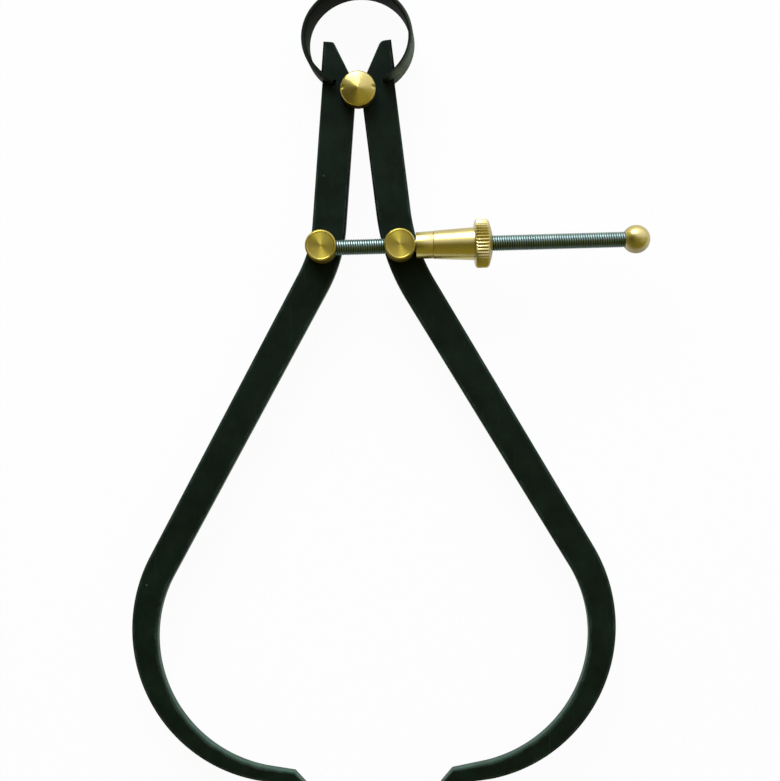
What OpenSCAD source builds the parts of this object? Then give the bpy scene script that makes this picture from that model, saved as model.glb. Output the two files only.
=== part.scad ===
// Outside spring caliper, lying on its back. Millimetres.
// The fulcrum's rear face is the origin, Y runs up to the bow, Z out of the front.

/* [Legs] */
// Thickness of the leg bar
leg_thick = 3.3; // [2.5:0.1:5]
// Width of the straight bar above the bend
bar_width = 7.2; // [6:0.1:9]
// Gap between the two bars when the legs are parallel
bar_gap = 1.3; // [0.8:0.1:2]
// How far each leg is swung out from parallel, as drawn
rest_swing = 5.6; // [4.5:0.1:8]
// From the fulcrum down to the corner of the bend
bend_drop = 35.5; // [33:0.5:38]
// Angle that the leg turns outward at the bend
bend_angle = 24; // [20:0.5:28]
// Radius of the bend, on the middle line
bend_radius = 31; // [24:1:36]
// From the corner of the bend to the start of the jaw
shank_length = 75.6; // [65:0.2:85]
// Radius of the jaw, on the middle line
jaw_radius = 30.7; // [28:0.5:34]
// Angle that the jaw sweeps round
jaw_sweep = 109; // [102:0.5:112]
// Width where the jaw starts
jaw_root_width = 6.4; // [5:0.1:8]
// Width at the jaw tip
tip_width = 2.9; // [2.5:0.1:4.5]
// Straight length of the tip, on its inner edge
tip_length = 7; // [4:0.2:10]
// Angle between the tip's end face and its length
tip_bevel = 38; // [30:1:60]
// Rounding of the measuring point
tip_round = 0.35; // [0.1:0.05:0.4]

/* [Horns] */
// Height of the horn above the fulcrum
horn_rise = 10.3; // [8:0.1:11]
// Slope of the horn's inner edge, aimed at the fulcrum
horn_angle = 30.5; // [29:0.5:34]

/* [Bow spring] */
// Outer radius of the bow
bow_radius = 11.5; // [11:0.1:12.5]
// Thickness of the spring strip
bow_thick = 1; // [0.8:0.05:1.4]
// Width of the spring strip
bow_width = 9; // [7:0.1:10]
// Height of the bow's centre above the fulcrum
bow_rise = 11.2; // [10.6:0.1:11.6]
// Angle from the bottom of the ring to each end of the strip
bow_end = 30; // [29:0.5:34]
// Lean of the bow as it sits in its slots
bow_lean = 3; // [0:0.1:4]
// Space between the strip and the sides of its slot
slot_gap = 0.35; // [0.3:0.05:0.6]
// Space between the end of the strip and the bottom of its slot
slot_relief = 0.6; // [0.3:0.1:1.2]

/* [Fulcrum] */
// Diameter of the fulcrum's front head
fulcrum_d = 7.5; // [6:0.1:9]
// Diameter of the rear head, that the caliper lies on
rear_d = 4.8; // [4.6:0.1:6.4]
// Diameter of the waist that the legs turn on
waist_d = 4; // [3:0.1:4.6]
// Depth of the straight edge of the front head
fulcrum_edge = 3.2; // [1:0.1:4]
// Height of the cone on the front head
fulcrum_cone = 1; // [0.4:0.1:1.6]

/* [Studs] */
// Distance of the stud below the fulcrum, along the bar
stud_drop = 34.2; // [33:0.1:35]
// Distance of the stud from the fulcrum, across the bar
stud_out = 5; // [4.6:0.1:5.4]
// Diameter of the stud head
stud_d = 6.6; // [6:0.1:7.4]
// Height of the stud head in front of the leg
stud_height = 6.6; // [6:0.1:8]
// Diameter of the shank in the leg
shank_d = 3.6; // [3:0.1:4]
// Diameter of the riveted end at the back of the leg
rivet_d = 5; // [4.6:0.1:5.4]
// Bevel round the face of the stud head
stud_bevel = 0.5; // [0.2:0.1:0.8]

/* [Screw] */
// Diameter of the screw
screw_d = 3.3; // [2.8:0.1:3.6]
// From the middle of the left stud to the middle of the ball
screw_length = 66.5; // [66:0.5:78]
// Diameter of the ball
ball_d = 6; // [5:0.1:7]

/* [Nut] */
// Length of the thrust collar
collar_length = 3.6; // [2.5:0.1:4]
// Diameter of the thrust collar
collar_d = 5.9; // [5:0.1:6.4]
// Length of the tapered barrel
barrel_length = 8.3; // [7:0.1:9]
// Diameter of the barrel at the thrust collar
barrel_d = 6; // [5.4:0.1:6.4]
// Diameter of the barrel at the knurl
barrel_end_d = 6.9; // [6.4:0.1:7.2]
// Length of the knurled head
knurl_length = 3.4; // [2.5:0.1:4]
// Diameter over the knurl
knurl_d = 10.3; // [9:0.1:10.8]
// Number of teeth in the knurl
knurl_teeth = 44; // [36:2:50]
// Depth of the knurl
knurl_depth = 0.32; // [0.2:0.02:0.4]
// Bevel on both edges of the knurl
knurl_bevel = 0.5; // [0.3:0.1:0.8]

/* [Fits] */
// Radial clearance where a round piece turns
running_gap = 0.05; // [0.03:0.01:0.1]
// Clearance between faces that turn past each other
face_gap = 0.1; // [0.05:0.05:0.2]

/* [Hidden] */
$fn = 96;
arc_step = 3;
round_step = 20;
through = 1;

bow_half = bow_width / 2 * cos(bow_lean) + bow_radius * sin(bow_lean);
leg_z = bow_half - leg_thick / 2;
leg_front = leg_z + leg_thick;
axis_x = -(bar_gap + bar_width) / 2;
shank_heading = 270 - bend_angle;
tip_heading = shank_heading + jaw_sweep;
bend_tangent = bend_radius * tan(bend_angle / 2);
bend_centre = [axis_x - bend_radius, bend_tangent - bend_drop];
jaw_start = [axis_x, -bend_drop] + shank_length * heading(shank_heading);
jaw_centre = jaw_start + jaw_radius * heading(shank_heading + 90);
jaw_end = jaw_centre + jaw_radius * heading(tip_heading - 90);
tip_reach = tip_length + tip_width / tan(tip_bevel);
tip_inner = jaw_end + tip_width / 2 * heading(tip_heading + 90) + tip_length * heading(tip_heading);
tip_outer = jaw_end + tip_width / 2 * heading(tip_heading - 90) + tip_reach * heading(tip_heading);
round_centre = tip_outer + tip_round / sin(tip_bevel / 2) * heading(tip_heading + 180 - tip_bevel / 2);
stud_at = turned([-stud_out, -stud_drop], -rest_swing);
screw_z = leg_front + stud_height / 2;
collar_start = stud_d / 2 + face_gap;
barrel_start = collar_start + collar_length + face_gap;
bore_d = screw_d + 2 * running_gap;
screw_end = -stud_d / 4;
rim_d = knurl_d - 2 * knurl_depth - 2 * face_gap;
ball_flat = ball_d * 0.4;

function heading(a) = [cos(a), sin(a)];
function turned(p, a) = [p.x * cos(a) - p.y * sin(a), p.x * sin(a) + p.y * cos(a)];
function arc(c, r, from, to, step) =
    let (n = ceil(abs(to - from) / step))
    [for (i = [0 : n]) c + r * heading(from + (to - from) * i / n)];
function jaw_edge(side) =
    let (n = ceil(jaw_sweep / arc_step))
    [for (i = [0 : n])
        let (w = jaw_root_width + (tip_width - jaw_root_width) * i / n)
        jaw_centre + (jaw_radius + side * w / 2) * heading(shank_heading - 90 + jaw_sweep * i / n)];
function backwards(list) = [for (i = [len(list) - 1 : -1 : 0]) list[i]];

// Left leg with its bar upright: down the outer edge, round the tip, up the inner edge
function leg_outline() = concat(
    [[axis_x - bar_width / 2, horn_rise]],
    arc(bend_centre, bend_radius - bar_width / 2, 0, -bend_angle, arc_step),
    jaw_edge(1),
    arc(round_centre, tip_round, tip_heading - 90, tip_heading + 90 - tip_bevel, round_step),
    [tip_inner],
    backwards(jaw_edge(-1)),
    backwards(arc(bend_centre, bend_radius + bar_width / 2, 0, -bend_angle, arc_step)),
    [[-bar_gap / 2, bar_gap / 2 / tan(horn_angle)]],
    [[-horn_rise * tan(horn_angle), horn_rise]]
);

// Slot in the leg's outer edge, following the strip of the bow
module bow_slot() {
    translate([0, bow_rise, leg_z - through])
        rotate_extrude(angle = 30, start = 180 + 90 - bow_end - 30 + slot_relief / bow_radius * 180 / PI)
            translate([bow_radius - bow_thick - slot_gap, 0])
                square([bow_thick + 2 * slot_gap, leg_thick + 2 * through]);
}

module leg() {
    difference() {
        translate([0, 0, leg_z])
            rotate(-rest_swing)
                linear_extrude(leg_thick)
                    polygon(leg_outline());
        translate([0, 0, leg_z - through])
            cylinder(d = waist_d + 2 * running_gap, h = leg_thick + 2 * through);
        translate([stud_at.x, stud_at.y, leg_z - through])
            cylinder(d = shank_d + 2 * running_gap, h = leg_thick + 2 * through);
        translate([stud_at.x, stud_at.y, leg_z - face_gap])
            cylinder(d1 = rivet_d + 2 * face_gap, d2 = shank_d, h = (rivet_d - shank_d) / 2 + face_gap);
        bow_slot();
    }
}

module left_leg() {
    color([0.13, 0.16, 0.14]) leg();
}

module right_leg() {
    color([0.13, 0.16, 0.14]) mirror([1, 0, 0]) leg();
}

module bow_spring() {
    color([0.15, 0.18, 0.16])
        translate([0, bow_rise, bow_half])
            rotate([0, -bow_lean, 0])
                rotate_extrude(angle = 360 - 2 * bow_end, start = 270 + bow_end)
                    translate([bow_radius - bow_thick, -bow_width / 2])
                        square([bow_thick, bow_width]);
}

module fulcrum_roller() {
    head_z = leg_front + face_gap;
    color([0.72, 0.6, 0.25]) {
        cylinder(d = rear_d, h = leg_z - face_gap);
        cylinder(d = waist_d, h = head_z + through / 2);
        translate([0, 0, head_z])
            cylinder(d = fulcrum_d, h = fulcrum_edge);
        translate([0, 0, head_z + fulcrum_edge])
            cylinder(d1 = fulcrum_d, d2 = 0, h = fulcrum_cone);
    }
}

// Turned post: riveted end, shank, bevelled head with a cross hole
module stud(hole_from) {
    rivet_h = (rivet_d - shank_d) / 2;
    head_z = leg_front + face_gap;
    head_h = stud_height - face_gap;
    color([0.72, 0.6, 0.25])
        difference() {
            rotate_extrude()
                polygon([
                    [0, leg_z],
                    [rivet_d / 2 - face_gap, leg_z],
                    [shank_d / 2, leg_z + rivet_h - face_gap],
                    [shank_d / 2, head_z],
                    [stud_d / 2, head_z],
                    [stud_d / 2, head_z + head_h - stud_bevel],
                    [stud_d / 2 - stud_bevel, head_z + head_h],
                    [0, head_z + head_h]
                ]);
            translate([hole_from, 0, screw_z])
                rotate([0, 90, 0])
                    cylinder(d = bore_d, h = stud_d - hole_from);
        }
}

module left_stud() {
    translate([stud_at.x, stud_at.y, 0])
        stud(screw_end - face_gap);
}

module right_stud() {
    translate([-stud_at.x, stud_at.y, 0])
        stud(-stud_d);
}

// A piece on the screw's line, its length from the given stud
module on_screw(from_x) {
    translate([from_x, stud_at.y, screw_z])
        rotate([0, 90, 0])
            children();
}

module adjusting_screw() {
    color([0.42, 0.45, 0.42])
        on_screw(stud_at.x + screw_end)
            cylinder(d = screw_d, h = screw_length - screw_end);
}

module screw_ball() {
    color([0.72, 0.6, 0.25])
        on_screw(stud_at.x + screw_length)
            difference() {
                sphere(d = ball_d);
                translate([-ball_d, -ball_d, -ball_d - ball_flat])
                    cube([2 * ball_d, 2 * ball_d, ball_d]);
                translate([0, 0, -ball_d])
                    cylinder(d = bore_d, h = ball_d + face_gap);
            }
}

module thrust_collar() {
    color([0.72, 0.6, 0.25])
        on_screw(-stud_at.x + collar_start)
            difference() {
                cylinder(d = collar_d, h = collar_length);
                translate([0, 0, -through])
                    cylinder(d = bore_d, h = collar_length + 2 * through);
            }
}

// Straight knurl: one V tooth for each step round the head
module knurl_outline() {
    polygon([for (i = [0 : 2 * knurl_teeth - 1])
        (knurl_d / 2 - (i % 2) * knurl_depth) * heading(i * 180 / knurl_teeth)]);
}

module adjusting_nut() {
    color([0.72, 0.6, 0.25])
        on_screw(-stud_at.x + barrel_start)
            difference() {
                union() {
                    cylinder(d1 = barrel_d, d2 = barrel_end_d, h = barrel_length);
                    translate([0, 0, barrel_length])
                        cylinder(d1 = rim_d - 2 * knurl_bevel, d2 = rim_d, h = knurl_bevel);
                    translate([0, 0, barrel_length + knurl_bevel])
                        linear_extrude(knurl_length - 2 * knurl_bevel)
                            knurl_outline();
                    translate([0, 0, barrel_length + knurl_length - knurl_bevel])
                        cylinder(d1 = rim_d, d2 = rim_d - 2 * knurl_bevel, h = knurl_bevel);
                }
                translate([0, 0, -through])
                    cylinder(d = bore_d, h = barrel_length + knurl_length + 2 * through);
            }
}

left_leg();
right_leg();
bow_spring();
fulcrum_roller();
left_stud();
right_stud();
adjusting_screw();
screw_ball();
thrust_collar();
adjusting_nut();
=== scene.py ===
import bpy
import numpy as np
from mathutils import Matrix, Vector
from mathutils.geometry import tessellate_polygon


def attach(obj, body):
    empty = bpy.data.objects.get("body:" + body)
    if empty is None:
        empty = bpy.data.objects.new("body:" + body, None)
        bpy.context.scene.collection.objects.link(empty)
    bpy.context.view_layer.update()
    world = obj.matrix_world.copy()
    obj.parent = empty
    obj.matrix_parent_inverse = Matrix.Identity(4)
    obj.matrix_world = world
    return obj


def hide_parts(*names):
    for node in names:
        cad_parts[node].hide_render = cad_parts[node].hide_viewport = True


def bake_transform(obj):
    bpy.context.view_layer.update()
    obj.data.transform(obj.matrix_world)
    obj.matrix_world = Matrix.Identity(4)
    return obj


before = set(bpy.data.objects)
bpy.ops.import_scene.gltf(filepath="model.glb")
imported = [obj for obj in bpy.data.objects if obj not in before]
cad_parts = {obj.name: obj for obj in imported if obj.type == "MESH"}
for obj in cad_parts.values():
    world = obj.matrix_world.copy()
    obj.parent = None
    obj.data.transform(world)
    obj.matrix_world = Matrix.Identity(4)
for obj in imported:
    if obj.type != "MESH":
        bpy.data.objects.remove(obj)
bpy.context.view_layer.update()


# LEGS
# A mirrored pair of flat steel bars, each with a horn above the fulcrum, a bend below the stud and a
# tapering curved jaw. Sawn and filed from strip, edges eased, then blackened; the spring holds them on the
# fulcrum, and bare steel shows where hands rub the edges.

MM = 0.001
LEG_REAR, LEG_FRONT = 3.446, 6.746
BAR_WIDTH, BAR_GAP, REST_SWING = 7.2, 1.3, 5.6
BEND_DROP, BEND_ANGLE = 35.5, 24.0
SHANK_LENGTH, JAW_RADIUS, JAW_SWEEP = 75.6, 30.7, 109.0
JAW_ROOT_WIDTH, TIP_WIDTH, TIP_BEVEL, TIP_ROUND = 6.4, 2.9, 38.0, 0.35
HORN_RISE, HORN_ANGLE, HORN_FLARE = 10.3, 30.5, 0.4
SEAT_RADIUS = 2.05
STUD_X, STUD_Y, STUD_BORE = -8.3135, -33.5489, 1.9
BOW_X, BOW_RISE, BOW_WIDE, BOW_HIGH, BOW_THICK, BOW_END = 0.26, 11.24, 11.45, 10.5, 0.95, 27.5
SLOT_GAP, SLOT_RELIEF = 0.07, 0.5
EDGE_ROUND = 0.58
BORE_EASE, TINY_EASE, SMALL_EASE, FULL_EASE = 0.08, 0.3, 0.45, 0.9


def heading(degrees):
    """Unit vectors in the plane, at the given angles from +X."""
    a = np.radians(np.asarray(degrees, float))
    return np.stack([np.cos(a), np.sin(a)], axis=-1)


def arc(centre, radius, start, stop, count):
    """Points on a circle from one angle to another; the radius may change along the way."""
    return np.asarray(centre) + np.reshape(radius, (-1, 1)) * heading(np.linspace(start, stop, count))


def turned(points, degrees):
    """Points turned about the fulcrum."""
    c, s = np.cos(np.radians(degrees)), np.sin(np.radians(degrees))
    return np.asarray(points) @ np.array([[c, s], [-s, c]])


def bow_side(angle, outward, middle):
    """Left side of the bow's oval: an ellipse about its middle, by angle from the bottom of the ring, moved out
    along its normal."""
    t = np.radians(np.asarray(angle, float))
    normal = np.stack([-BOW_HIGH * np.sin(t), -BOW_WIDE * np.cos(t)], axis=-1)
    normal /= np.linalg.norm(normal, axis=-1, keepdims=True)
    line = np.stack([middle - BOW_WIDE * np.sin(t), BOW_RISE - BOW_HIGH * np.cos(t)], axis=-1)
    return line + outward * normal


def leg_loop(bow_middle, wide, bend, tip_length, horn_round, heel):
    """Outline of the left leg with its bar upright, counter-clockwise: down the outer edge and through the
    bow's slot, round the jaw to the tip, back up the inner edge, round the fulcrum seat and up the horn. The
    jaw's two edges are one circle plus and minus half a width that shrinks evenly with the angle, and the heel
    grows evenly outside it. With it go the share of the edge rounding that each point can take, and the painted
    shade that each edge takes where it lies in the other leg's or bow's shade."""
    axis = -(BAR_GAP + BAR_WIDTH) / 2
    half = (BAR_WIDTH + wide) / 2
    outer, inner = axis - half, axis + half
    shank, tip = 270 - BEND_ANGLE, 270 - BEND_ANGLE + JAW_SWEEP
    bend_at = (axis - bend, bend * np.tan(np.radians(BEND_ANGLE / 2)) - BEND_DROP)
    jaw_at = np.array([axis, -BEND_DROP]) + SHANK_LENGTH * heading(shank) + JAW_RADIUS * heading(shank + 90)
    jaw_end = jaw_at + JAW_RADIUS * heading(tip - 90)
    taper = np.linspace(JAW_ROOT_WIDTH + wide, TIP_WIDTH, 74) / 2
    along = np.linspace(0, 1, 74)
    reach = tip_length + TIP_WIDTH / np.tan(np.radians(TIP_BEVEL))
    point = jaw_end + TIP_WIDTH / 2 * heading(tip - 90) + reach * heading(tip)
    round_at = point + TIP_ROUND / np.sin(np.radians(TIP_BEVEL / 2)) * heading(tip + 180 - TIP_BEVEL / 2)
    sweep = np.linspace(15, 70, 400)
    half_slot = BOW_THICK / 2 + SLOT_GAP
    side_in, side_out = (turned(bow_side(sweep, o, bow_middle), REST_SWING) for o in (-half_slot, half_slot))
    mouth_in = np.interp(HORN_FLARE - outer, -side_in[:, 0], sweep)
    mouth_out = np.interp(-outer, -side_out[:, 0], sweep)
    slot_end = BOW_END - SLOT_RELIEF
    slot = [turned(bow_side(np.linspace(a, b, 6), o, bow_middle), REST_SWING)
            for a, b, o in ((mouth_in, slot_end, -half_slot), (slot_end, mouth_out, half_slot))]
    seat = 180 + np.degrees(np.arccos(-inner / SEAT_RADIUS))
    lean = 90 + HORN_ANGLE
    horn_tip = HORN_RISE * np.array([-np.tan(np.radians(HORN_ANGLE)), 1])
    horn_out = np.array([outer - HORN_FLARE, HORN_RISE])
    fade = np.linspace(1, 0, 5)[:, None]
    horn_corner = horn_tip + horn_round * (fade ** 2 * heading(lean + 180) + (1 - fade) ** 2 * heading(180))
    # Each run's last list is painted shade: 1 on the bar's inner edge by the seat, on the seat and on the horn's
    # outer edge.
    runs = [
        ((horn_out + (0.75, 0))[None], SMALL_EASE, [0]),
        (horn_out[None], FULL_EASE, [1]),
        (slot[0][:1], FULL_EASE, [1]),
        (slot[0][1:], TINY_EASE, [0] * 5),
        (slot[1], TINY_EASE, [0] * 6),
        (arc(bend_at, bend - half, 0, -BEND_ANGLE, 17), FULL_EASE, [0] * 17),
        (arc(jaw_at, JAW_RADIUS + taper + heel * along, shank - 90, tip - 90, 74), FULL_EASE, [0] * 74),
        (arc(round_at, TIP_ROUND, tip - 90, tip + 90 - TIP_BEVEL, 9), TINY_EASE, [0] * 9),
        ((jaw_end + TIP_WIDTH / 2 * heading(tip + 90) + tip_length * heading(tip))[None], SMALL_EASE, [0]),
        (arc(jaw_at, (JAW_RADIUS - taper)[::-1], tip - 90, shank - 90, 74), FULL_EASE, [0] * 74),
        (arc(bend_at, bend + half, -BEND_ANGLE, 0, 17), FULL_EASE, np.linspace(0, 1, 17)),
        (arc((0, 0), SEAT_RADIUS, seat, lean, 20), SMALL_EASE, [1] * 20),
        (horn_corner, SMALL_EASE, [0] * 5),
    ]
    return (np.concatenate([p for p, _, _ in runs]), np.concatenate([np.full(len(p), e) for p, e, _ in runs]),
            np.concatenate([np.asarray(d, float) for _, _, d in runs]))


def rounded_edge(rear, front):
    """Profile of a plate's edge as inset, height, arris and side: a quarter circle at the front, the flat side
    and a quarter circle at the back. A narrow flat band at both ends keeps the faces flat in the shading, arris
    marks the line where face and rounding meet, and side is 1 on the flat side."""
    t = np.radians(np.linspace(0, 90, 7))
    curve, fall = EDGE_ROUND * (1 - np.sin(t)), EDGE_ROUND * (1 - np.cos(t))
    band = np.array([EDGE_ROUND + 0.38, EDGE_ROUND + 0.06])
    inset = np.concatenate([band, curve, [0, 0, 0], curve[::-1], band[::-1]])
    height = np.concatenate([[front, front], front - fall, [front - 0.8, (front + rear) / 2, rear + 0.8],
                             rear + fall[::-1], [rear, rear]])
    arris = np.array([0, 0.3, 1, 0.45, 0, 0, 0, 0, 0])
    side = np.array([0, 0, 0, 0.12, 0.3, 0.5, 0.7, 0.9, 1])
    return (inset, height, np.concatenate([arris, [0, 0, 0], arris[::-1]]),
            np.concatenate([side, [1, 1, 1], side[::-1]]))


def grid_faces(rows, columns, first=0):
    """Quads between neighbouring rows of a grid whose columns close on themselves."""
    r, c = np.meshgrid(np.arange(rows - 1), np.arange(columns), indexing="ij")
    n = (c + 1) % columns
    quads = np.stack([r * columns + c, (r + 1) * columns + c, (r + 1) * columns + n, r * columns + n], axis=-1)
    return first + quads.reshape(-1, 4)


def wall(loop, ease, profile):
    """Side of a plate: every outline point slides inward along its mitred normal by the profile's inset, at the
    profile's height."""
    step = np.roll(loop, -1, axis=0) - loop
    step /= np.linalg.norm(step, axis=1, keepdims=True)
    after = np.stack([-step[:, 1], step[:, 0]], axis=1)
    before = np.roll(after, 1, axis=0)
    mitre = (before + after) / np.maximum(1 + (before * after).sum(1, keepdims=True), 0.25)
    inset, height = profile[:2]
    flat = loop[None] + inset[:, None, None] * (ease[:, None] * mitre)[None]
    points = np.concatenate([flat, np.broadcast_to(height[:, None, None], flat.shape[:2] + (1,))], axis=2)
    return points


def mesh_piece(name, points, faces, smooth=35, uv=None, **attributes):
    """New object at the origin from whole arrays. Points that coincide are welded, which closes seams and poles,
    and a quad that loses a corner there becomes a triangle. The UV goes to the corners, so it keeps its seam."""
    points = np.asarray(points, float)
    _, kept, same = np.unique(np.round(points, 4) + 0.0, axis=0, return_index=True, return_inverse=True)
    welded = [same.ravel()[block] for block in faces]
    keep = [w != np.roll(w, -1, axis=1) for w in welded]
    keep = [k & (k.sum(axis=1) > 2)[:, None] for k in keep]
    corners = np.concatenate([w[k] for w, k in zip(welded, keep)])
    sizes = np.concatenate([k.sum(axis=1) for k in keep])
    sizes = sizes[sizes > 0]
    mesh = bpy.data.meshes.new(name)
    mesh.vertices.add(len(kept))
    mesh.vertices.foreach_set("co", (points[kept] * MM).astype(np.float32).ravel())
    mesh.loops.add(len(corners))
    mesh.loops.foreach_set("vertex_index", corners.astype(np.int32))
    mesh.polygons.add(len(sizes))
    mesh.polygons.foreach_set("loop_start", (np.cumsum(sizes) - sizes).astype(np.int32))
    mesh.update(calc_edges=True)
    mesh.shade_smooth()
    mesh.set_sharp_from_angle(angle=np.radians(smooth))
    for key, values in attributes.items():
        made = mesh.attributes.new(key, "FLOAT", "POINT")
        made.data.foreach_set("value", np.asarray(values, np.float32)[kept])
    if uv is not None:
        spread = np.concatenate([uv[block[k]] for block, k in zip(faces, keep)])
        mesh.uv_layers.new(name="UVMap").data.foreach_set("uv", spread.astype(np.float32).ravel())
    mesh.validate()
    piece = bpy.data.objects.new(name, mesh)
    bpy.context.scene.collection.objects.link(piece)
    return piece


def cap(rings, offsets, upward):
    """Flat triangles that fill the first loop and leave out the holes that follow it."""
    flat = np.concatenate(rings)
    tri = np.array(tessellate_polygon([[Vector((x, y, 0)) for x, y in ring[:, :2]] for ring in rings]))
    a, b, c = (flat[tri[:, k], :2] for k in range(3))
    turn = (b - a)[:, 0] * (c - a)[:, 1] - (b - a)[:, 1] * (c - a)[:, 0]
    tri = np.where(((turn > 0) == upward)[:, None], tri, tri[:, ::-1])
    index = np.concatenate([o + np.arange(len(r)) for r, o in zip(rings, offsets)])
    return index[tri]


def leg_piece(name, side, sizes, stud):
    """A leg as a plate with rounded edges and a bore for its stud; the right leg is the left one mirrored."""
    loop, ease, painted_edge_shade = leg_loop(-side * BOW_X, **sizes)
    loop = turned(loop, -REST_SWING)
    bore = np.asarray(stud) + STUD_BORE * heading(np.linspace(360, 0, 48, endpoint=False))
    if side > 0:
        loop, ease, painted_edge_shade = loop[::-1] * (-1, 1), ease[::-1], painted_edge_shade[::-1]
    profile = rounded_edge(LEG_REAR, LEG_FRONT)
    rows = len(profile[0])
    outer, inner = wall(loop, ease, profile), wall(bore, np.full(len(bore), BORE_EASE), profile)
    points = np.concatenate([outer.reshape(-1, 3), inner.reshape(-1, 3)])
    first = rows * len(loop)
    last = (rows - 1) * len(loop), first + (rows - 1) * len(bore)
    faces = [grid_faces(rows, len(loop)), grid_faces(rows, len(bore), first),
             cap([outer[0], inner[0]], (0, first), True), cap([outer[-1], inner[-1]], last, False)]
    none = np.zeros(rows * len(bore))
    arris, flank = (np.concatenate([np.repeat(ring, len(loop)), none]) for ring in profile[2:])
    # Painted shade on the rounded edges that the other leg or the bow shades.
    shade = np.concatenate([np.outer(profile[3] > 0, painted_edge_shade).ravel(), none])
    return mesh_piece(name, points, faces, arris=arris, side=flank, shade=shade)


def shader(name):
    """Empty node tree with one Principled shader wired to the output."""
    made = bpy.data.materials.new(name)
    made.use_nodes = True
    return made, made.node_tree, made.node_tree.nodes["Principled BSDF"]


def add(tree, kind, links=None, **values):
    """One node: settings by name, socket values by their label, and links from other nodes' sockets."""
    made = tree.nodes.new(kind)
    for key, value in values.items():
        if hasattr(made, key):
            setattr(made, key, value)
        else:
            made.inputs[key.replace("_", " ")].default_value = value
    for socket, source in (links or {}).items():
        tree.links.new(source, made.inputs[socket])
    return made


def noise(tree, place, scale, detail, rough=0.5):
    """Fractal noise of a place, as one value."""
    made = add(tree, "ShaderNodeTexNoise", {"Vector": place}, Scale=scale, Detail=detail, Roughness=rough)
    return made.outputs[0]


def ramp(tree, source, low, high):
    """Clamped straight line from 0 at low to 1 at high."""
    made = add(tree, "ShaderNodeMapRange", {"Value": source})
    made.inputs["From Min"].default_value, made.inputs["From Max"].default_value = low, high
    return made.outputs["Result"]


def blend_colour(tree, share, first, second):
    """Mix of two colours; each is a socket or a plain colour."""
    made = add(tree, "ShaderNodeMix", data_type="RGBA")
    tree.links.new(share, made.inputs["Factor"])
    for slot, value in ((6, first), (7, second)):
        if isinstance(value, tuple):
            made.inputs[slot].default_value = (*value, 1)
        else:
            tree.links.new(value, made.inputs[slot])
    return made.outputs[2]


def times(tree, a, b):
    """Product of two sockets, or of a socket and a number."""
    made = add(tree, "ShaderNodeMath", {0: a}, operation="MULTIPLY")
    if isinstance(b, float):
        made.inputs[1].default_value = b
    else:
        tree.links.new(b, made.inputs[1])
    return made.outputs[0]


def blackened_steel(name, tone, worn, flank, gloss):
    """Blackened steel: a dark green-black film, mottled and finely grained. Its flanks carry a paler, greener
    painted reflection of the white floor, its edges a near-black painted shade where the other leg or bow
    shades them. It is rubbed pale in broken lines along the arrises, and has a few nicks and long faint
    scratches."""
    made, tree, shade = shader(name)
    place = add(tree, "ShaderNodeTexCoord").outputs["Object"]
    mottle, grain = noise(tree, place, 170.0, 6.0, 0.62), noise(tree, place, 5200.0, 2.0)
    rub_and_reflection_noise = noise(tree, place, 300.0, 6.0, 0.7)
    nick = add(tree, "ShaderNodeTexVoronoi", {"Vector": place}, Scale=150.0).outputs["Distance"]
    drawn = add(tree, "ShaderNodeMapping", {"Vector": place}, Scale=(3.2, 0.09, 1.0), Rotation=(0, 0, 0.24))
    scratch = noise(tree, drawn.outputs[0], 900.0, 3.0)
    arris, side, painted_edge_shade = (add(tree, "ShaderNodeAttribute", attribute_name=key).outputs["Fac"]
                         for key in ("arris", "side", "shade"))
    film = blend_colour(tree, ramp(tree, mottle, 0.36, 0.68), tone, tuple(1.8 * t for t in tone))
    film = blend_colour(tree, times(tree, ramp(tree, scratch, 0.64, 0.74), 0.1), film, worn)
    film = blend_colour(tree, times(tree, ramp(tree, nick, 0.045, 0.028), 0.9), film, worn)
    # Painted reflection of the white floor on the flanks, paler and greener, broken up by noise.
    film = blend_colour(tree, times(tree, side, ramp(tree, rub_and_reflection_noise, 0.1, 0.75)), film, flank)
    # Painted shade: near black where the other leg or the bow shades an edge.
    film = blend_colour(tree, times(tree, painted_edge_shade, 0.9), film, (0.0016, 0.0022, 0.0018))
    film = blend_colour(tree, times(tree, times(tree, arris, ramp(tree, rub_and_reflection_noise, 0.4, 0.7)), 0.6), film, worn)
    tree.links.new(film, shade.inputs["Base Color"])
    rough = add(tree, "ShaderNodeMapRange", {"Value": mottle}, To_Min=0.42, To_Max=0.58)
    tree.links.new(rough.outputs[0], shade.inputs["Roughness"])
    bump = add(tree, "ShaderNodeBump", {"Height": grain}, Strength=0.12, Distance=0.00002)
    tree.links.new(bump.outputs[0], shade.inputs["Normal"])
    shade.inputs["Specular IOR Level"].default_value = gloss
    return made


leg_steel = blackened_steel("blackened leg steel", (0.0038, 0.009, 0.0045), (0.075, 0.1, 0.08),
                            (0.05, 0.112, 0.07), 0.08)
STUD_AT = (STUD_X - 0.33, STUD_Y + 0.16), (-STUD_X - 0.3, STUD_Y)
LEG_SIZES = (dict(wide=0.06, bend=31.0, tip_length=6.2, horn_round=0.5, heel=0.1),
             dict(wide=0.22, bend=42.0, tip_length=7.6, horn_round=0.9, heel=0.75))
for side, node in ((-1, "left_leg"), (1, "right_leg")):
    leg = leg_piece(node + "_bar", side, LEG_SIZES[side > 0], STUD_AT[side > 0])
    leg.data.materials.append(leg_steel)
    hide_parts(node)
    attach(leg, node)


# FULCRUM ROLLER
# The spool that both legs rock on, turned from brass bar: a waist in the half-round leg seats, a thick
# rear head that the caliper lies on and a front head with a shallow cone. Only the spring's squeeze holds it.

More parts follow.
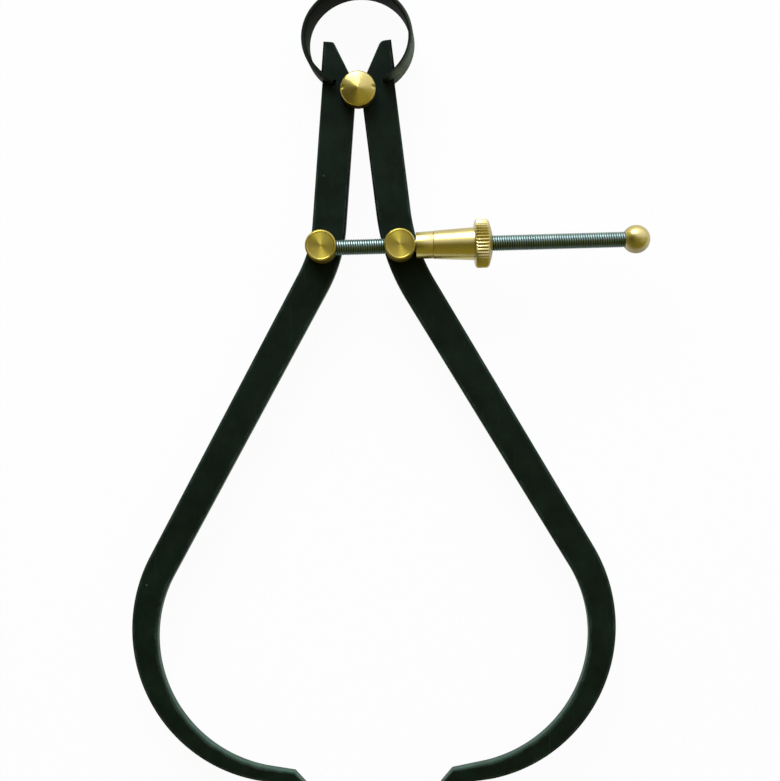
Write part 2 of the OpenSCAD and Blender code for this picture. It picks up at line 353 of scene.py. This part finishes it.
def lathe(profile, at, along="z", count=96):
    """Surface of revolution as points, quads and UVs: the profile of radius and height is turned about the axis,
    with its metal on the left. The seam column is doubled so that the UV, angle by path length, runs once
    round."""
    profile = np.asarray(profile, float)
    rows, columns = len(profile), count + 1
    angle = np.linspace(0, 2 * np.pi, columns)
    radius, length = profile[:, 0][:, None], profile[:, 1][:, None] + 0 * angle
    points = np.stack((radius * np.cos(angle), radius * np.sin(angle), length) if along == "z"
                      else (length, radius * np.cos(angle), radius * np.sin(angle)), axis=-1) + np.asarray(at)
    path = np.concatenate([[0], np.cumsum(np.hypot(*np.diff(profile, axis=0).T))])
    uv = np.stack(np.broadcast_arrays(np.linspace(0, 1, columns), (path * 0.1)[:, None]), axis=-1)
    r, c = np.meshgrid(np.arange(rows - 1), np.arange(count), indexing="ij")
    near = r * columns + c
    quads = np.stack([near, near + 1, near + columns + 1, near + columns], axis=-1)
    return points.reshape(-1, 3), quads.reshape(-1, 4), uv.reshape(-1, 2)


def eased(profile, size=0.12):
    """Profile with each inner corner cut back to three points, so that turned edges catch the light."""
    p = np.asarray(profile, float)
    back, ahead = p[:-2] - p[1:-1], p[2:] - p[1:-1]
    long_back, long_ahead = np.hypot(*back.T)[:, None], np.hypot(*ahead.T)[:, None]
    a = p[1:-1] + back / long_back * np.minimum(size, 0.4 * long_back)
    b = p[1:-1] + ahead / long_ahead * np.minimum(size, 0.4 * long_ahead)
    middle = 0.5 * p[1:-1] + 0.25 * (a + b)
    return np.concatenate([p[:1], np.stack([a, middle, b], axis=1).reshape(-1, 2), p[-1:]])


def turned_brass(name, rough, drawn_out, lacquer):
    """Turned brass: a greenish yellow metal with fine tool rings, a lathe sheen drawn out across the rings, a
    thin brown film in patches and a dark brown where a piece asks for it, which is tarnish in some places and
    painted shade in others. That dark brown is duller, less metallic and has lost its lacquer."""
    made, tree, shade = shader(name)
    place = add(tree, "ShaderNodeTexCoord").outputs["Object"]
    unrolled = add(tree, "ShaderNodeUVMap", uv_map="UVMap").outputs[0]
    along = add(tree, "ShaderNodeSeparateXYZ", {0: unrolled}).outputs[1]
    rings = add(tree, "ShaderNodeTexNoise", {"W": along}, noise_dimensions="1D", Scale=620.0, Detail=3.0)
    rings, film = rings.outputs[0], noise(tree, place, 190.0, 3.0)
    painted_shade_and_tarnish = add(tree, "ShaderNodeAttribute", attribute_name="tarnish").outputs["Fac"]
    colour = blend_colour(tree, times(tree, ramp(tree, film, 0.42, 0.75), 0.75), BRASS_CLEAN, BRASS_FILM)
    colour = blend_colour(tree, times(tree, ramp(tree, rings, 0.45, 0.8), 0.25), colour, BRASS_FILM)
    # Dark brown from each piece's attribute: real tarnish in places, painted shade on sides that lie in shade.
    colour = blend_colour(tree, painted_shade_and_tarnish, colour, BRASS_TARNISH_AND_SHADE)
    tree.links.new(colour, shade.inputs["Base Color"])
    bump = add(tree, "ShaderNodeBump", {"Height": rings}, Strength=0.1, Distance=0.00002)
    tree.links.new(bump.outputs[0], shade.inputs["Normal"])
    dull = add(tree, "ShaderNodeMapRange", {"Value": film}, To_Min=rough - 0.03, To_Max=rough + 0.04)
    dull = add(tree, "ShaderNodeMath", {0: dull.outputs[0], 1: times(tree, painted_shade_and_tarnish, 0.4)}, operation="ADD")
    tree.links.new(dull.outputs[0], shade.inputs["Roughness"])
    sheen = add(tree, "ShaderNodeTangent", direction_type="UV_MAP", uv_map="UVMap")
    tree.links.new(sheen.outputs[0], shade.inputs["Tangent"])
    bare_metal_and_sheen = add(tree, "ShaderNodeMapRange", {"Value": painted_shade_and_tarnish}, To_Min=1.0, To_Max=0.2)
    tree.links.new(bare_metal_and_sheen.outputs[0], shade.inputs["Metallic"])
    clear = add(tree, "ShaderNodeMapRange", {"Value": painted_shade_and_tarnish}, To_Min=lacquer, To_Max=0.0)
    tree.links.new(clear.outputs[0], shade.inputs["Coat Weight"])
    shade.inputs["Specular IOR Level"].default_value = 0.1
    shade.inputs["Specular Tint"].default_value = (0.45, 0.37, 0.1, 1)
    shade.inputs["Anisotropic"].default_value = drawn_out
    shade.inputs["Anisotropic Rotation"].default_value = 0.25
    shade.inputs["Coat Roughness"].default_value = 0.25
    shade.inputs["Coat IOR"].default_value = 2.3
    return made


BRASS_CLEAN, BRASS_FILM, BRASS_TARNISH_AND_SHADE = (0.57, 0.475, 0.055), (0.43, 0.33, 0.03), (0.05, 0.036, 0.014)
FULCRUM_RADIUS, WAIST_RADIUS, REAR_RADIUS, FULCRUM_BEVEL = 3.78, 2.0, 2.4, 0.28
HEAD_REAR, HEAD_FRONT = LEG_REAR - 0.1, LEG_FRONT + 0.1
FULCRUM_RIM = HEAD_FRONT + 3.25
coned_brass = turned_brass("coned brass", 0.3, 0.8, 0.6)
profile = eased([
    (0, 0), (REAR_RADIUS - 0.25, 0), (REAR_RADIUS, 0.25), (REAR_RADIUS, HEAD_REAR), (WAIST_RADIUS, HEAD_REAR),
    (WAIST_RADIUS, HEAD_FRONT), (FULCRUM_RADIUS, HEAD_FRONT), (FULCRUM_RADIUS, FULCRUM_RIM - FULCRUM_BEVEL),
    (FULCRUM_RADIUS - FULCRUM_BEVEL, FULCRUM_RIM), (3.0, FULCRUM_RIM + 0.15), (2.4, FULCRUM_RIM + 0.32),
    (1.0, FULCRUM_RIM + 0.68), (0.3, FULCRUM_RIM + 0.83), (0, FULCRUM_RIM + 0.87)])
points, quads, uv = lathe(profile, (0, 0, 0), count=192)
radius, turn = np.hypot(points[:, 0], points[:, 1]), np.arctan2(points[:, 1] - 0.3, np.abs(points[:, 0]))
notch = np.exp(-(turn / 0.09) ** 2) * np.clip((radius - 2.9) / 0.4, 0, 1) * (points[:, 2] > FULCRUM_RIM - 0.4)
points[:, 2] -= 0.22 * notch
# Painted shade: the front head's side and everything below the rim are dark brown; the two dents by the rim are
# darker too.
painted_shade_and_tarnish = np.where((radius > FULCRUM_RADIUS - 0.06) | (points[:, 2] < FULCRUM_RIM - 0.5), 1.0, 0.75 * notch)
fulcrum = mesh_piece("fulcrum_spool", points, [quads], 30, uv, tarnish=painted_shade_and_tarnish)
fulcrum.data.materials.append(coned_brass)
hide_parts("fulcrum_roller")
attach(fulcrum, "bow")


# BOW SPRING
# An open ring bent from flat spring steel and blackened. Its ends sit in the slots of the legs and squeeze
# them on the fulcrum; made as two halves that meet at the crown.

BOW_MIDDLE, BOW_WIDTH, BOW_LEAN, STRIP_ROUND = 5.096, 8.9, 3.06, 0.25


def strip_section(half_thick, half_wide, corner):
    """Rounded rectangle: four quarter circles, one at each corner, in order round the section."""
    turn = np.radians(np.linspace(0, 90, 6))
    quarter = corner * np.stack([np.cos(turn), np.sin(turn)], axis=1)
    spin = [np.array([[np.cos(a), np.sin(a)], [-np.sin(a), np.cos(a)]]) for a in np.radians([0, 90, 180, 270])]
    corners = np.array([(1, 1), (-1, 1), (-1, -1), (1, -1)]) * (half_thick - corner, half_wide - corner)
    return np.concatenate([quarter @ m + c for m, c in zip(spin, corners)])


def bow_half(name, side):
    """Strip section carried round the ring from the slot to the crown, then leaned as the whole bow sits."""
    section = strip_section(BOW_THICK / 2, BOW_WIDTH / 2, STRIP_ROUND)
    angle = np.linspace(BOW_END, 180, 110)
    flat = np.stack([bow_side(angle, o, -side * BOW_X) for o in section[:, 0]], axis=1)
    x, y = -side * flat[..., 0], flat[..., 1]
    z = np.broadcast_to(section[:, 1], x.shape)
    lean = np.radians(BOW_LEAN)
    points = np.stack([x * np.cos(lean) - z * np.sin(lean), y,
                       x * np.sin(lean) + z * np.cos(lean) + BOW_MIDDLE], axis=-1)
    rows, columns = len(angle), len(section)
    end = np.arange(columns)[None]
    faces = [grid_faces(rows, columns), end, (rows - 1) * columns + end[:, ::-1]]
    if side < 0:
        faces = [block[:, ::-1] for block in faces]
    front = np.tile(np.where(np.abs(section[:, 1]) > BOW_WIDTH / 2 - 0.6 * STRIP_ROUND, 0.12, 0.0), rows)
    # Painted reflection of the floor on the outer face: faint all round, strong on the right half away from the
    # crown,
    bare_metal_and_sheen = 0.15 + 0.65 * (side > 0) * np.clip((165 - angle) / 70, 0, 1)
    # fading out towards the slot ends.
    bare_metal_and_sheen = bare_metal_and_sheen * np.clip((angle - BOW_END - 4) / 14, 0, 1)
    painted_floor_reflection = np.outer(bare_metal_and_sheen, np.clip(section[:, 0] / (BOW_THICK / 2), 0, 1)).ravel()
    return mesh_piece(name, points.reshape(-1, 3), faces, arris=front, side=painted_floor_reflection, shade=0 * front)


# The spring steel's flank colour is the painted floor reflection on the bow's outer face.
spring_steel = blackened_steel("blackened spring steel", (0.006, 0.0095, 0.0055), (0.06, 0.08, 0.06),
                               (0.2, 0.25, 0.19), 0.004)
for side, leg_body in ((-1, "left_leg"), (1, "right_leg")):
    half = bow_half("bow_" + leg_body.split("_")[0] + "_half", side)
    half.data.materials.append(spring_steel)
    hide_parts("bow_spring")
    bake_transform(half)


# STUDS
# Brass swivel posts, turned with a plain drum head and a shank that is riveted over at the back of the leg. The
# left one holds the end of the screw, and the right one is drilled across for the screw to slide through.

STUD_RADIUS, STUD_TOP, RIVET_RADIUS, SHANK_RADIUS = 3.3, LEG_FRONT + 6.6, 2.45, 1.8
SCREW_Z, CROSS_RADIUS = LEG_FRONT + 3.3, 1.82
SIDE_LOW, SIDE_HIGH = HEAD_FRONT + 0.08, STUD_TOP - 1.4
faced_brass = turned_brass("faced brass", 0.38, 0.85, 0.25)


def half_drum():
    """The half of the drum's side that faces +X, as a grid from the rim of the cross hole out to the edges of
    the half. It is laid out flat, as arc length by height, and then bent round the drum's radius."""
    level, edge = np.linspace(SIDE_LOW, SIDE_HIGH, 9), np.pi / 2 * STUD_RADIUS
    arc_length = np.linspace(-edge, edge, 49)
    border = np.concatenate([
        np.stack([arc_length[:-1], np.full(48, SIDE_LOW)], 1), np.stack([np.full(8, edge), level[:-1]], 1),
        np.stack([arc_length[:0:-1], np.full(48, SIDE_HIGH)], 1),
        np.stack([np.full(8, -edge), level[:0:-1]], 1)])
    turn = np.arctan2(border[:, 1] - SCREW_Z, border[:, 0])
    rim = np.stack([STUD_RADIUS * np.arcsin(CROSS_RADIUS * np.cos(turn) / STUD_RADIUS),
                    SCREW_Z + CROSS_RADIUS * np.sin(turn)], axis=1)
    flat = rim + np.linspace(0, 1, 8)[:, None, None] * (border - rim)
    bend = flat[..., 0] / STUD_RADIUS
    points = np.stack([STUD_RADIUS * np.cos(bend), STUD_RADIUS * np.sin(bend), flat[..., 1]], axis=-1)
    return points, np.stack([bend / (2 * np.pi), flat[..., 1] * 0.1], axis=-1)


rear = eased([(0, LEG_REAR - 0.12), (RIVET_RADIUS * 0.7, LEG_REAR - 0.08), (RIVET_RADIUS, LEG_REAR),
              (SHANK_RADIUS, LEG_REAR + 0.6), (SHANK_RADIUS, HEAD_FRONT), (STUD_RADIUS, HEAD_FRONT),
              (STUD_RADIUS, STUD_TOP)], 0.08)[:-1]
head = eased([(STUD_RADIUS, LEG_FRONT), (STUD_RADIUS, STUD_TOP - 1.35), (STUD_RADIUS - 0.1, STUD_TOP - 1.3),
              (STUD_RADIUS - 0.1, STUD_TOP - 1.15), (STUD_RADIUS, STUD_TOP - 1.1),
              (STUD_RADIUS, STUD_TOP - 0.26), (STUD_RADIUS - 0.26, STUD_TOP), (STUD_RADIUS - 0.42, STUD_TOP),
              (STUD_RADIUS - 0.5, STUD_TOP - 0.08), (0.12, STUD_TOP + 0.05), (0, STUD_TOP + 0.05)], 0.05)[1:]
near, near_uv = half_drum()
rows, columns = near.shape[:2]
ring = grid_faces(rows, columns)
tube = np.stack([near[0] * (-1, 1, 1), near[0]])
for at, node, body in ((STUD_AT[0], "left_stud", "screw"), (STUD_AT[1], "right_stud", "right_stud")):
    ends = [lathe(part, (0, 0, 0)) for part in (rear, head)]
    if node == "right_stud":
        sides = [(near.reshape(-1, 3), ring, near_uv.reshape(-1, 2)),
                 ((near * (-1, 1, 1)).reshape(-1, 3), ring[:, ::-1], near_uv.reshape(-1, 2)),
                 (tube.reshape(-1, 3), grid_faces(2, columns), near_uv[:2].reshape(-1, 2))]
    else:
        sides = [lathe([rear[-1], head[0]], (0, 0, 0))]
    parts = ends + sides
    start = np.cumsum([0] + [len(p) for p, _, _ in parts])
    points, uv = (np.concatenate([part[k] for part in parts]) for k in (0, 2))
    # Painted shade: the drum's side, everything below its top face, is dark brown.
    painted_shade_and_tarnish = 0.85 * np.clip((STUD_TOP - 0.1 - points[:, 2]) / 0.2, 0, 1)
    stud = mesh_piece(node + "_post", points + (*at, 0), [q + k for (_, q, _), k in zip(parts, start)], 30, uv,
                      tarnish=painted_shade_and_tarnish)
    stud.data.materials.append(faced_brass)
    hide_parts(node)
    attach(stud, body)


# ADJUSTING SCREW
# Steel rod with a fine right-hand thread, cut with a die. It is fixed in the left stud, slides through the
# right one and is riveted into the ball at its free end; painted shade darkens its underside and takes off its
# coat.

SCREW_RADIUS, SCREW_Y, PITCH, THREAD_DEPTH = 1.65, STUD_Y - 0.12, 0.5, 0.2
SCREW_FROM, SCREW_TO = STUD_X - 1.65, STUD_X + 66.25
length = np.arange(SCREW_FROM, SCREW_TO, PITCH / 8)
angle = np.linspace(0, 2 * np.pi, 40, endpoint=False)
phase = (length[:, None] / PITCH - angle[None] / (2 * np.pi)) % 1.0
flank = np.clip(2.1 * np.abs(2 * phase - 1) - 1.1, 0, 1)
radius = SCREW_RADIUS - THREAD_DEPTH * flank
thread = np.stack([length[:, None] + 0 * radius, SCREW_Y + radius * np.cos(angle),
                   SCREW_Z + radius * np.sin(angle)], axis=-1)
rows, columns = radius.shape
first, last = np.arange(columns)[None, ::-1], ((rows - 1) * columns + np.arange(columns))[None]
faces = [grid_faces(rows, columns)[:, ::-1], first, last]
# Painted shade: the half of the rod that faces -Y is darkened, most at the bottom.
under = np.clip(0.1 - 1.6 * np.cos(angle), 0, 1) + 0 * radius
screw = mesh_piece("adjusting_screw_rod", thread.reshape(-1, 3), faces, 60, root=flank.ravel(), oil=under.ravel())

screw_steel, tree, shade = shader("threaded steel")
place = add(tree, "ShaderNodeTexCoord").outputs["Object"]
stain = noise(tree, place, 420.0, 5.0)
root, oil = (add(tree, "ShaderNodeAttribute", attribute_name=key).outputs["Fac"] for key in ("root", "oil"))
crest = blend_colour(tree, ramp(tree, stain, 0.35, 0.7), (0.16, 0.275, 0.21), (0.1, 0.19, 0.145))
# Painted shade on the underside, near black.
crest = blend_colour(tree, times(tree, oil, 0.7), crest, (0.022, 0.038, 0.03))
# Painted shade: the thread's roots are near black, so the crests stand out.
steel = blend_colour(tree, ramp(tree, root, 0.3, 0.95), crest, (0.012, 0.018, 0.015))
tree.links.new(steel, shade.inputs["Base Color"])
film = add(tree, "ShaderNodeMapRange", {"Value": oil}, To_Min=0.95, To_Max=0.3)
tree.links.new(film.outputs[0], shade.inputs["Coat Weight"])
shade.inputs["Metallic"].default_value = 0.9
shade.inputs["Roughness"].default_value = 0.3
shade.inputs["Specular Tint"].default_value = (0.3, 0.36, 0.33, 1)
shade.inputs["Coat Roughness"].default_value = 0.2
shade.inputs["Coat IOR"].default_value = 1.95
screw.data.materials.append(screw_steel)
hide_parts("adjusting_screw")
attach(screw, "screw")


# SCREW BALL
# Brass ball turned on the end of a drilled blank, with a small flat where the screw enters and is riveted.
# It stops the nut from running off the screw, and has a brown stain in front; painted shade darkens and dulls its
# underside.

BALL_RADIUS, BALL_FLAT = 3.0, 2.4
brass = turned_brass("turned brass", 0.4, 0.35, 1.0)
lat = np.linspace(-np.arcsin(BALL_FLAT / BALL_RADIUS), np.pi / 2, 40)
globe = np.stack([BALL_RADIUS * np.cos(lat), BALL_RADIUS * np.sin(lat)], axis=1)
points, quads, uv = lathe(np.concatenate([[(0, -BALL_FLAT)], globe]), (SCREW_TO, SCREW_Y, SCREW_Z), "x")
stain = np.linalg.norm(points - (SCREW_TO - 1.4, SCREW_Y - 0.1, SCREW_Z + 2.6), axis=1)
# A brown stain in front, a faint film all over, and painted shade on the underside that faces -Y.
painted_shade_and_tarnish = 0.1 + 0.75 * np.exp(-stain ** 2) + 0.4 * np.clip(-0.5 - 0.5 * (points[:, 1] - SCREW_Y), 0, 1)
ball = mesh_piece("screw_ball_end", points, [quads], 30, uv, tarnish=painted_shade_and_tarnish)
ball.data.materials.append(brass)
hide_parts("screw_ball")
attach(ball, "screw")


# THRUST COLLAR
# Plain turned brass bush, loose on the screw between the right stud and the nut; it takes the rub of the
# turning nut. Its slight taper runs on into the nut's barrel.

COLLAR_FROM, COLLAR_LENGTH = -STUD_X + STUD_RADIUS - 0.17, 3.6
COLLAR_RADIUS, COLLAR_END, BORE_RADIUS = 2.78, 2.94, 1.93
profile = eased([
    (BORE_RADIUS, COLLAR_LENGTH / 2), (BORE_RADIUS, 0), (COLLAR_RADIUS, 0), (COLLAR_END, COLLAR_LENGTH),
    (BORE_RADIUS, COLLAR_LENGTH), (BORE_RADIUS, COLLAR_LENGTH / 2)], 0.06)
points, quads, uv = lathe(profile, (COLLAR_FROM, SCREW_Y, SCREW_Z), "x")
collar = mesh_piece("thrust_collar_bush", points, [quads], 30, uv, tarnish=np.zeros(len(points)))
collar.data.materials.append(brass)
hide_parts("thrust_collar")
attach(collar, "collar")


# ADJUSTING NUT
# Brass nut turned with a tapered barrel and a wider head with a coned end, whose rim is rolled with a
# straight knurl for the fingers. It runs on the screw's thread and pushes the collar against the stud.

NUT_FROM = COLLAR_FROM + COLLAR_LENGTH + 0.05
BARREL_LENGTH, BARREL_RADIUS, BARREL_END = 8.62, 2.99, 3.5
KNURL_LENGTH, KNURL_RADIUS, KNURL_TEETH, KNURL_DEPTH = 3.55, 5.15, 44, 0.32
NUT_LENGTH = BARREL_LENGTH + KNURL_LENGTH
profile = np.array([
    (BORE_RADIUS, NUT_LENGTH / 2), (BORE_RADIUS, 0.05), (BORE_RADIUS + 0.05, 0), (BARREL_RADIUS - 0.06, 0),
    (BARREL_RADIUS, 0.06), (BARREL_END - 0.01, BARREL_LENGTH - 0.1), (BARREL_END, BARREL_LENGTH),
    (KNURL_RADIUS - 1.0, BARREL_LENGTH), (KNURL_RADIUS - 0.42, BARREL_LENGTH + 0.2),
    (KNURL_RADIUS - 0.1, BARREL_LENGTH + 0.45), (KNURL_RADIUS, BARREL_LENGTH + 0.7),
    (KNURL_RADIUS, NUT_LENGTH - 1.0), (KNURL_RADIUS - 0.1, NUT_LENGTH - 0.72),
    (KNURL_RADIUS - 0.4, NUT_LENGTH - 0.45), (KNURL_RADIUS - 0.75, NUT_LENGTH - 0.32),
    (KNURL_RADIUS - 1.95, NUT_LENGTH + 0.05),
    (BORE_RADIUS + 0.05, NUT_LENGTH + 0.3), (BORE_RADIUS, NUT_LENGTH + 0.25), (BORE_RADIUS, NUT_LENGTH / 2)])
points, quads, uv = lathe(profile, (0, 0, 0), "x", KNURL_TEETH * 10)
radius, turn = np.hypot(points[:, 1], points[:, 2]), uv[:, 0]
cut = np.clip((radius - (KNURL_RADIUS - 0.3)) / 0.25, 0, 1)
groove = np.abs(2 * ((turn * KNURL_TEETH) % 1) - 1) ** 1.3
points[:, 1:] *= (1 - KNURL_DEPTH * cut * groove / radius)[:, None]
# The knurl grooves a touch darker, and painted shade on the coned end, the nut's last millimetre.
painted_shade_and_tarnish = np.maximum(0.04 * cut * groove ** 2, 0.55 * np.clip(points[:, 0] - NUT_LENGTH + 1.0, 0, 1))
points = points + (NUT_FROM, SCREW_Y, SCREW_Z)
nut = mesh_piece("adjusting_nut_knurled", points, [quads], 30, uv, tarnish=painted_shade_and_tarnish)
nut.data.materials.append(brass)
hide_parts("adjusting_nut")
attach(nut, "nut")


# FLOOR, LIGHT AND CAMERA
# The caliper lies on a plain white sheet of paper. A large soft window lamp stands beyond the bow and a weak
# lamp at the right; the room is a bright bank beyond the bow, warm and dim on the near side, with a dark card
# high at the left, and the camera looks down from straight above.

floor_mesh = bpy.data.meshes.new("floor")
floor_mesh.from_pydata([(-3, -3, 0), (3, -3, 0), (3, 3, 0), (-3, 3, 0)], [], [(0, 1, 2, 3)])
floor = bpy.data.objects.new("floor", floor_mesh)
bpy.context.scene.collection.objects.link(floor)
paper, tree, shade = shader("white paper")
shade.inputs["Base Color"].default_value = (0.9, 0.9, 0.9, 1)
shade.inputs["Roughness"].default_value = 0.9
shade.inputs["Specular IOR Level"].default_value = 0.0
ray = add(tree, "ShaderNodeLightPath")
glow = add(tree, "ShaderNodeEmission", Strength=1.0)
seen = ray.outputs["Is Camera Ray"]
for kind in ("Is Glossy Ray", "Is Transmission Ray"):
    seen = add(tree, "ShaderNodeMath", {0: seen, 1: ray.outputs[kind]}, operation="MAXIMUM").outputs[0]
share = times(tree, seen, 0.955)
mixed = add(tree, "ShaderNodeMixShader", {0: share, 1: shade.outputs[0], 2: glow.outputs[0]})
tree.links.new(mixed.outputs[0], tree.nodes["Material Output"].inputs["Surface"])
floor.data.materials.append(paper)

world = bpy.data.worlds.new("studio")
bpy.context.scene.world = world
world.use_nodes = True
tree = world.node_tree
toward = add(tree, "ShaderNodeTexCoord").outputs["Generated"]


def facing(direction):
    """How closely the seen direction points along another, as a cosine."""
    made = add(tree, "ShaderNodeVectorMath", {0: toward}, operation="DOT_PRODUCT")
    made.inputs[1].default_value = Vector(direction).normalized()
    return made.outputs["Value"]


beyond = facing((0, 1, 0))
bright = times(tree, ramp(tree, beyond, 0.09, 0.33), ramp(tree, facing((1, 0, 0)), -0.3, 0.0))
room = blend_colour(tree, ramp(tree, beyond, -0.25, 0.08), (0.285, 0.24, 0.055), (0.33, 0.305, 0.14))
bank = blend_colour(tree, ramp(tree, beyond, 0.55, 0.95), (1.2, 1.15, 1.5), (1.9, 1.9, 2.4))
glow = blend_colour(tree, bright, room, bank)
card = times(tree, ramp(tree, facing((-0.526, -0.141, 0.839)), 0.84, 0.93), 0.95)
glow = blend_colour(tree, card, glow, (0.03, 0.02, 0.012))
glow = blend_colour(tree, add(tree, "ShaderNodeLightPath").outputs["Is Camera Ray"], glow, (1.0, 1.0, 1.0))
tree.links.new(glow, tree.nodes["Background"].inputs["Color"])


def soft_lamp(name, place, aim, size, power, colour):
    """Square area lamp at a point in metres, facing another."""
    lamp = bpy.data.lights.new(name, "AREA")
    lamp.size, lamp.energy, lamp.color = size, power, colour
    made = bpy.data.objects.new(name, lamp)
    made.location = place
    made.rotation_euler = (Vector(aim) - Vector(place)).to_track_quat("-Z", "Y").to_euler()
    bpy.context.scene.collection.objects.link(made)


soft_lamp("window", (-0.2, 0.7, 0.42), (0, -0.06, 0), 0.5, 6.5, (0.98, 1.0, 1.2))
soft_lamp("side", (0.7, -0.1, 0.5), (0, -0.06, 0), 0.6, 0.4, (1.0, 0.95, 0.8))

FOCAL_PIXELS, IMAGE_WIDTH = 1370.4, 780
camera = bpy.data.cameras.new("camera")
camera.sensor_fit, camera.sensor_width = "HORIZONTAL", 36.0
camera.lens = FOCAL_PIXELS * camera.sensor_width / IMAGE_WIDTH
camera.clip_start = 0.01
view = bpy.data.objects.new("camera", camera)
view.matrix_world = (Matrix.Translation((0.00837, -0.06425, 0.300376)) @ Matrix.Rotation(0.01135, 4, "Y")
                     @ Matrix.Rotation(-0.0271, 4, "Z"))
bpy.context.scene.collection.objects.link(view)
bpy.context.scene.camera = view
bpy.context.scene.view_settings.view_transform = "Standard"
